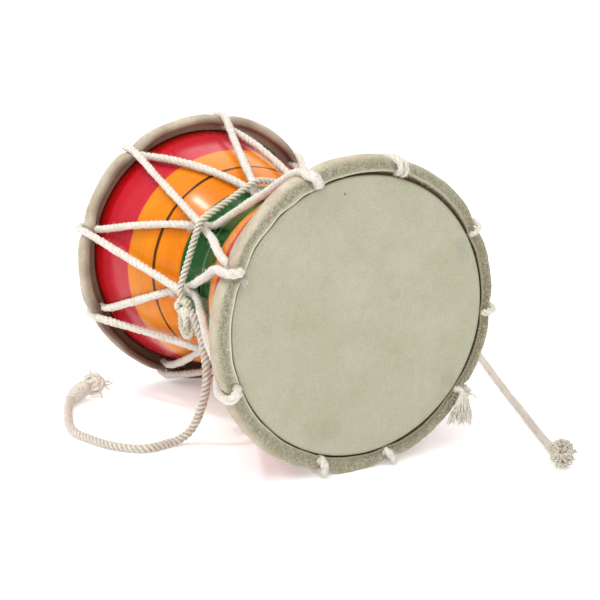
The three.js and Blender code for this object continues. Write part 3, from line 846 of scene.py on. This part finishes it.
def make_girdle():
    """The girdle cord, its front knot with a wide and a narrow hanging loop and a frayed stub, and
    its back knot."""
    line = smooth_route(girdle_route(), 0.4 * MM)
    girdle = make_rope("twisted_girdle_cord", line, GIRDLE_RADIUS, GIRDLE_COTTON, sides=20, plies=3,
                       pitch=7.4 * MM, depth=0.5, aside=np.array([[1.0, 0, 0]]), seed=6)
    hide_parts("waist_girdle")
    front = place(GIRDLE_X, 46.8 * MM, 259.5)
    back = place(GIRDLE_X, 48.3 * MM, 106)
    parts = [
        coil(wound(front, [0.3, -0.9, 0.3], [130, 90, 50], 2.9 * MM, 2.2), 1.6 * MM, 30),
        coil(hanging_bow(front + np.array([2.8, 0.6, -0.5]) * MM, 13.5 * MM, 7.4 * MM, 0.35), 1.6 * MM, 31),
        coil(hanging_bow(front + np.array([5.2, -0.8, -0.5]) * MM, 10 * MM, 3.4 * MM, -0.4), 1.5 * MM, 32),
        coil(front + np.array([[1, -1, -1], [4, -1.8, -2.4], [6.4, -2, -5], [7, -2.2, -8]]) * MM, 1.5 * MM, 33),
        coil(wound(back, [0.2, 0.9, 0.2], [130, 90, 50], 2.7 * MM, 2.2), 1.5 * MM, 34),
        tuft(front + np.array([7, -2.2, -8]) * MM, [0.2, -0.2, -1], 26, 0.4, (1.4, 3),
             (0.1, 0.25), 0.2 * MM, 35, rings=5),
    ]
    points, walls, fans = joined(parts)
    knots = make_piece("girdle_knots", points, [walls, fans], GIRDLE_COTTON)
    lint = lint_on("girdle_lint", line, GIRDLE_RADIUS, 2600, 1.1 * MM, 7)


# Turned shell

def make_shell():
    """A profile of the outside and the bore, joined flat at the mouths, turned round the drum's axis."""
    columns = 256
    outside = np.linspace(-MOUTH, MOUTH, 201)
    inside = np.linspace(MOUTH, -MOUTH, 61)
    along = np.concatenate([outside, inside])
    radius = np.concatenate([shell_radius(outside), bore_radius(inside)])
    turn = 2 * np.pi * np.arange(columns) / columns
    x = np.broadcast_to(along[:, None], (len(along), columns))
    rings = place(x, radius[:, None] * np.ones(columns), np.degrees(turn)[None, :])
    points = rings.reshape(-1, 3)
    faces = grid_faces(len(rings) + 1, columns) % len(points)
    shell = make_piece("turned_wood_shell", points, [faces], lacquered_wood())
    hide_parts("drum_shell")


# Hide drumheads. Each row: distance along and radius in mm, then how much of the rim's pinches,
# of the cut lip's waver and of the nap's lumps the point takes, and its marks for the nappy strip,
# the painted shade in the groove and behind the rim, the rolled outside and the cut lip

HIDE_ROWS = [
    [80.4, 0.5], [80.4, 30], [80.4, 58], [80.4, 61.4], [80, 61.75], [78.4, 61.5, 0, 0, 0, 0, 0.7],
    [77.6, 62, 0, 0, 0, 0, 1], [77.2, 63.4, 0.2, 0, 0, 0, 1, 0.2], [76.2, 64.8, 0.4, 0, 0, 0, 0.9, 0.6],
    [73.6, 65.2, 0.6, 0, 0, 0, 0.6, 1], [72.3, 65.9, 0.8, 0, 0, 0, 0.4, 1],
    [72, 67.2, 1, 0, 0, 0, 0.28, 1], [72.7, 68.9, 1, 0, 0, 0, 0.1, 1], [74.5, 69.9, 1, 0, 0, 0, 0, 1],
    [77, 70, 1, 0, 0, 0, 0, 1], [79.2, 69.75, 1, 0, 0.2, 0.1, 0, 1], [80.7, 69, 1, 0, 0.5, 0.35, 0, 0.9],
    [81.4, 67.9, 1, 0, 1, 0.8, 0, 0.4], [81.75, 66.6, 1, 0.2, 1, 1], [81.75, 65.2, 0.8, 0.6, 1, 1],
    [81.95, 64.3, 0.5, 1, 0.5, 0.8, 0, 0, 0.2], [82.1, 63.8, 0.35, 1, 0, 0.5, 0, 0, 1],
    [81.8, 63.3, 0.3, 1, 0, 0.5, 0, 0, 1], [80.9, 63.15, 0.2, 0.7, 0, 0.5, 0.55, 0.3],
    [79.9, 62.95, 0.1, 0.2, 0, 0, 1], [79.5, 62.6, 0.1, 0, 0, 0, 1], [79.8, 62.25, 0, 0, 0, 0, 1],
    [80.6, 62.05, 0, 0, 0, 0, 0.6], [81.3, 61.65, 0, 0, 0, 0, 0.1], [81.7, 60.9], [81.8, 59.8],
    [81.8, 57], [81.8, 30], [81.8, 0.5],
]
HIDE_STEPS = [5, 5, 3, 2, 3, 3, 3, 3, 4, 4, 4, 4, 5, 5, 5, 4, 4, 4, 4, 3, 3, 3, 4, *[3] * 7, 5, 20, 18]
HIDE_PROFILE = np.array([row + [0] * (9 - len(row)) for row in HIDE_ROWS])
# Of these marks, the second and the last are painted shade, in the groove and on the dusky back, and the fifth,
# the olive-brown of the strip's right side, is partly painted shade.
HIDE_MARKS = ["flesh", "recess_shade", "outer", "cut", "olive_and_shade", "back_shade"]
OLIVE_SHADE_SIDE = 98

# Where each rim stands out from its circle or lies in from it: degrees, mm and reach in degrees

FRONT_WANDER = [(302, -2.9, 22), (262, -1.1, 14), (186, 1.9, 5), (95, -0.8, 40)]
BACK_WANDER = [(215, -0.9, 20), (250, 0.9, 9), (300, -0.5, 12), (345, -0.8, 18)]


def bell(degrees, middle, reach):
    """A bell curve over the angle from the middle, the short way round."""
    return np.exp(-((((degrees - middle + 180) % 360 - 180) / reach) ** 2))


def profile_rows(profile, steps):
    """A Catmull-Rom curve through the profile's rows, all columns together, with that many
    steps on each span, and held between the two rows so that no mark overshoots. It is straight
    on the flat skin, where a long span or a neighbour of one would fold."""
    padded = np.vstack([profile[0], profile, profile[-1]])
    rows = []
    for i, count in enumerate(steps):
        a, b, c, d = padded[i:i + 4]
        t = (np.arange(count) / count)[:, None]
        bend = 0.5 * (2 * b + (c - a) * t + (2 * a - 5 * b + 4 * c - d) * t**2 + (3 * b - a - 3 * c + d) * t**3)
        straight = b + (c - b) * t
        far = np.abs(np.diff([a[1], b[1], c[1], d[1]])).max() > 8
        rows.append(straight if far else np.hstack([bend[:, :2], np.clip(straight, 0, 1)[:, 2:]]))
    rows.append(profile[-1:])
    return np.vstack(rows)


def make_head(name, side, loops, replaced, seed, hide, wander):
    """The profile turned round the axis. A bell curve draws the rim in at each loop, where the
    rope's hole and notch are dented, and between loops the rim swells and wanders. The cut lip
    wavers, stands off the skin at the top and closes on it elsewhere. The nappy strip has small
    lumps, and the skin bellies and has a faint broken crease over the mouth's edge. Painted shade
    in the groove and beside the lip, the olive-brown of the strip's right side, which is partly
    painted shade, and painted shade on the dusky back follow bells round the circle."""
    columns = 540
    rows = profile_rows(HIDE_PROFILE, HIDE_STEPS)
    turn = 2 * np.pi * np.arange(columns) / columns
    degrees = np.degrees(turn)[None, :]
    apart = (degrees[..., None] - np.array(loops) + 180) % 360 - 180
    pinch = np.exp(-((apart / 5.0) ** 2)).sum(-1)
    bed = np.exp(-(((apart + LOOP_SPREAD) / 1.9) ** 2)).sum(-1)
    hole = np.exp(-(((apart - LOOP_SPREAD) / 2.2) ** 2)).sum(-1)
    along, radius, rim, lip, nap, flesh, recess_shade, outer, cut = (column[:, None] for column in rows.T)
    draw = default_rng(seed)
    lumps = np.fft.rfft2(draw.normal(size=(len(rows), columns)))
    waves = np.hypot(np.fft.fftfreq(len(rows))[:, None] * 9, np.fft.rfftfreq(columns)[None, :] * 7)
    lumps = np.fft.irfft2(lumps * np.exp(-(waves**2)), s=(len(rows), columns))
    lumps = lumps / np.abs(lumps).max()
    outness = np.clip((radius - 66.5) / 3, 0, 1)
    inward = np.clip((66.5 - radius) / 2, 0, 1) * rim
    left, top = bell(degrees, 290, 45), bell(degrees, 24, 32)
    right = np.minimum(1.3 * bell(degrees, 135, 62), 1)
    swell = sum(amount * bell(degrees, at, width) for at, amount, width in wander)
    reach = (radius - rim * (1.25 * pinch - 0.25) + 0.45 * rim * periodic(turn, range(2, 14), seed + 1)
             - 1.3 * outness * rim * bed + 0.6 * lip * periodic(turn, range(5, 40), seed + 2)
             + lip * (1.9 * top - 0.85) + outness * swell + 0.34 * nap * lumps)
    depth = (along + 0.3 * rim * periodic(turn, range(3, 12), seed + 3)
             + 0.35 * lip * periodic(turn, range(6, 30), seed + 4) + 0.34 * nap * lumps
             - 1.2 * inward * hole * np.clip((along - 78) / 2, 0, 1))
    reach = np.where(radius < 61.9, radius, reach)
    front_skin = (along > 81) & (radius < 61)
    crease = np.exp(-(((radius - 56.6) / 0.9) ** 2)) * np.clip(periodic(turn, range(2, 12), seed + 6), 0, 1)
    belly = np.clip((60 - radius) / 60, 0, 1) * periodic(turn, [2, 3], seed + 5)
    depth = depth + front_skin * (0.12 * belly - 0.06 * crease)
    points = place(side * depth * MM, reach * MM, degrees)
    points[..., 2] = np.maximum(points[..., 2], 0)
    poles = place(side * rows[[0, -1], 0] * MM, 0, 0)
    all_points, walls, fans = capped(points, poles)
    # Darker olive-brown on the right of the nappy strip: partly the hide's own colour, partly painted shade.
    olive_and_shade = flesh * bell(degrees, OLIVE_SHADE_SIDE, 48) * np.clip((68.6 - radius) / 2.5, 0, 1)
    face = along > 80.5
    cut = cut * np.clip(0.3 + left - 1.2 * right, 0, 1)
    # Painted shade in the groove and behind the rim, weaker on the left and, behind the rim's face, at the top;
    # then painted shade under the lip on the right and on the skin beside the lip at the left.
    recess_shade = recess_shade * (1 - 0.55 * left) * np.where(along > 79, 1, 1 - 0.9 * bell(degrees, 12, 55))
    under_lip = face * np.exp(-(((radius - 64) / 1.1) ** 2)) * right * 0.5
    beside_lip = front_skin * np.clip((radius - 59) / 3, 0, 1) ** 2 * left * 0.4
    recess_shade = recess_shade + under_lip + beside_lip
    # Painted shade on the rim's back face near the shell, stronger low on the left and uneven round the circle.
    dusk = 0.45 + 0.7 * bell(degrees, 215, 48) - 0.15 * bell(degrees, 15, 30)
    dusk = dusk + 0.5 * periodic(turn, range(3, 26), seed + 7)[None, :]
    behind = np.clip((78.5 - along) / 4, 0, 1) * np.clip((71.5 - radius) / 4, 0, 1)
    back_shade = np.clip(dusk * behind * outer, 0, 1)
    marks = {mark: np.append(np.broadcast_to(column, (len(rows), columns)), [0, 0])
             for mark, column in zip(HIDE_MARKS, (flesh, recess_shade, outer, cut, olive_and_shade, back_shade))}
    head = make_piece(name, all_points, [walls, fans], hide, marks=marks)
    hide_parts(replaced)


def make_nap():
    """Loose fibres of the flesh side on the front rim, thickest where hands have rubbed it."""
    draw = default_rng(90)
    count = 1500
    degrees = np.where(draw.uniform(size=count) < 0.6, draw.normal(125, 32, count), draw.uniform(0, 360, count))
    radius = draw.uniform(64.4, 69.2, count)
    bulge = 81.6 - 0.35 * np.clip(radius - 67, 0, 3) ** 2
    roots = place(bulge * MM, (radius - 0.6) * MM, degrees)
    ways = unit(draw.normal(size=(count, 3)) * [0.35, 1, 1] + [0.35, 0, 0])
    nap = make_fibres("rim_nap", COTTON_HAIR, roots, ways, draw.uniform(1, 3.4, count) * MM,
                      draw.uniform(0.035, 0.075, count) * MM, 0.6, 91, rings=4)


# Floor and light

def make_stage():
    """A white floor that fills the view and glows faintly as a lit table does, a broad soft
    light from above and the left, a large box behind that brightens the tops of the lacquer, a
    small bright box that makes its hot spot, and a pale surround."""
    mesh = bpy.data.meshes.new("floor")
    corner = 30
    mesh.from_pydata([(-corner, -corner, 0), (corner, -corner, 0), (corner, corner, 0), (-corner, corner, 0)],
                     [], [(0, 1, 2, 3)])
    floor = bpy.data.objects.new("floor", mesh)
    bpy.context.scene.collection.objects.link(floor)
    material, shader, add = new_material("white_paper_floor")
    where = add("TexCoord").outputs["Object"]
    mottle = add("TexNoise", {0: where, "Scale": 6.0})
    tone = add("ValToRGB", {0: mottle}, [(0.2, "#F6F6F6"), (0.8, "#FBFBFB")])
    put(tone, shader.inputs["Base Color"])
    shader.inputs["Roughness"].default_value = 0.9
    shader.inputs["Emission Color"].default_value = (1, 1, 1, 1)
    shader.inputs["Emission Strength"].default_value = 0.25
    floor.data.materials.append(material)
    lamps = [
        ("hot_box", "AREA", (-0.216, -0.496, 1.081), (-0.0226, -0.0274, 0.105),
         {"energy": 3.4, "shape": "DISK", "size": 0.1}),
        ("back_box", "AREA", (-1.2, 0.8, 1.3), (0, 0, 0.07), {"energy": 12.0, "size": 1.5}),
        ("soft_sky", "SUN", (0.45, -0.45, 1.0), (0, 0, 0), {"energy": 2.35, "angle": np.radians(70)}),
    ]
    for name, kind, spot, aim, settings in lamps:
        data = bpy.data.lights.new(name, kind)
        for key, value in settings.items():
            setattr(data, key, value)
        lamp = bpy.data.objects.new(name, data)
        facing = (Vector(aim) - Vector(spot)).to_track_quat("-Z", "Y").to_matrix().to_4x4()
        lamp.matrix_world = Matrix.Translation(spot) @ facing
        bpy.context.scene.collection.objects.link(lamp)
    world = bpy.data.worlds.new("pale_surround")
    world.use_nodes = True
    surround = world.node_tree.nodes["Background"]
    surround.inputs["Color"].default_value = (1, 1, 1, 1)
    surround.inputs["Strength"].default_value = 0.5
    bpy.context.scene.world = world
    bpy.context.scene.view_settings.view_transform = "Standard"


make_camera()
make_striker("left", LEFT_ROUTE, 40, make_left_knot(), STRIKER_RADIUS, 0.95)
make_striker("right", RIGHT_ROUTE, 60, make_right_knot(), 0.86 * STRIKER_RADIUS, 0.15)
make_lacing()
make_girdle()
make_shell()
HIDE = drum_hide()
make_head("front_head_hide", 1, FRONT_LOOPS, "front_drumhead", 70, HIDE, FRONT_WANDER)
make_head("back_head_hide", -1, BACK_LOOPS, "back_drumhead", 80, HIDE, BACK_WANDER)
make_nap()
make_stage()
